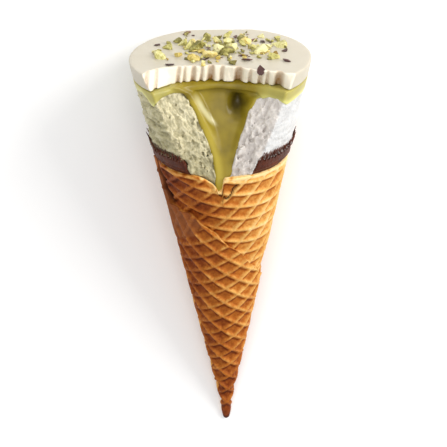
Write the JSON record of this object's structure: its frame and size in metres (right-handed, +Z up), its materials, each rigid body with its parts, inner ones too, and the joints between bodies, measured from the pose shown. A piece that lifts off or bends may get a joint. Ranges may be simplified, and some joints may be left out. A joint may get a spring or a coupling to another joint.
{
  "type": "filled ice cream cone",
  "caption": "Wafer cone filled with pistachio and milk ice cream, bitten open at the front, with sauce and a cream disc on top, lying on its back.",
  "frame": {"origin": "centre of the bounding box's underside, on the floor that the cone lies on", "axes": "+Z up, +Y from the wafer's tip towards the cream disc, +X to the right of the bitten side seen from above with the disc at the top"},
  "size_m": [0.0616, 0.1464, 0.0497],
  "materials": {
    "wafer": "baked golden brown wafer with raised rhombic ribs, darker on the left and paler on the rib tops",
    "chocolate": "thin dark chocolate coat, slightly rough",
    "pistachio_ice_cream": "pale green-yellow frozen ice cream with a rough crystalline cut",
    "milk_ice_cream": "white frozen ice cream with a rough crystalline cut",
    "pistachio_sauce": "thick glossy olive green sauce",
    "cream": "smooth pale cream coating, slightly glossy, with a soft edge",
    "nuts": "chopped green nuts with brown skins"
  },
  "bodies": {
    "root": {"wafer_cone": "wafer", "chocolate_lining": "chocolate", "pistachio_ice_cream": "pistachio_ice_cream", "milk_ice_cream": "milk_ice_cream", "pistachio_sauce": "pistachio_sauce", "cream_disc": "cream"}
  },
  "joints": []
}
